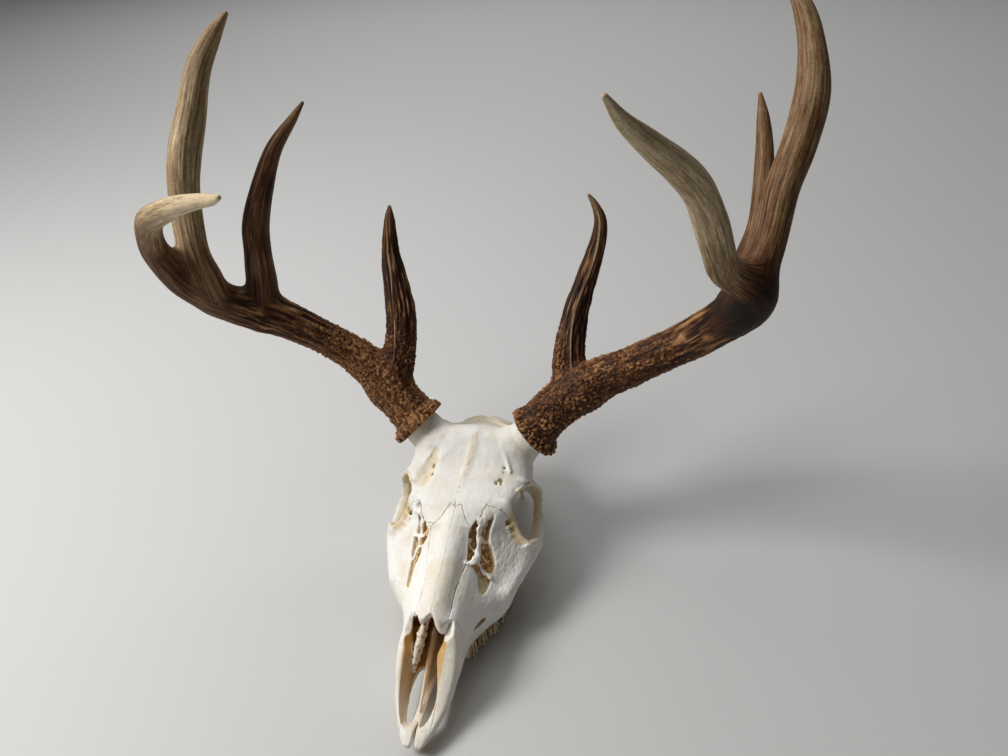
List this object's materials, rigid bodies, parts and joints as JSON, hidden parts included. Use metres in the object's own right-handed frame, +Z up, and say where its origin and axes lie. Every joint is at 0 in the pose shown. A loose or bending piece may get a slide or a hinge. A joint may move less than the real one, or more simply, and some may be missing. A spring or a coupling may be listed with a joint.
{
  "type": "white-tailed deer skull with antlers",
  "caption": "Bleached upper skull of a mature white-tailed buck with both branching antlers, lying on its cheek teeth.",
  "frame": {"origin": "bottom centre of the bounding box, on the surface that the skull lies on", "axes": "+X to the skull's left across the antlers, +Y from the nose to the back of the head, +Z up"},
  "size_m": [0.4638, 0.3124, 0.4337],
  "materials": {
    "bone": "dry bleached bone, matt, with fine pits and grain",
    "cream_bone": "thin cream bone with a soft sheen",
    "pearled_antler": "rough dark chestnut antler with tan pearls and furrows",
    "brown_antler": "brown antler with tan grain, semi-smooth",
    "pale_antler": "polished grey-tan antler with an ivory tip"
  },
  "bodies": {
    "root": {"cranium": "bone", "upper_jaw_with_teeth": "bone", "premaxilla_left": "cream_bone", "nasal_left": "bone", "cheek_arch_left": "cream_bone", "premaxilla_right": "cream_bone", "nasal_right": "bone", "cheek_arch_right": "cream_bone", "antler_left_lower_beam": "pearled_antler", "antler_left_brow_tine": "pearled_antler", "antler_left_middle_beam": "brown_antler", "antler_left_second_tine": "brown_antler", "antler_left_third_tine": "brown_antler", "antler_left_upper_beam": "pale_antler", "antler_right_lower_beam": "pearled_antler", "antler_right_brow_tine": "pearled_antler", "antler_right_middle_beam": "brown_antler", "antler_right_second_tine": "brown_antler", "antler_right_third_tine": "brown_antler", "antler_right_upper_beam": "pale_antler"}
  },
  "joints": []
}
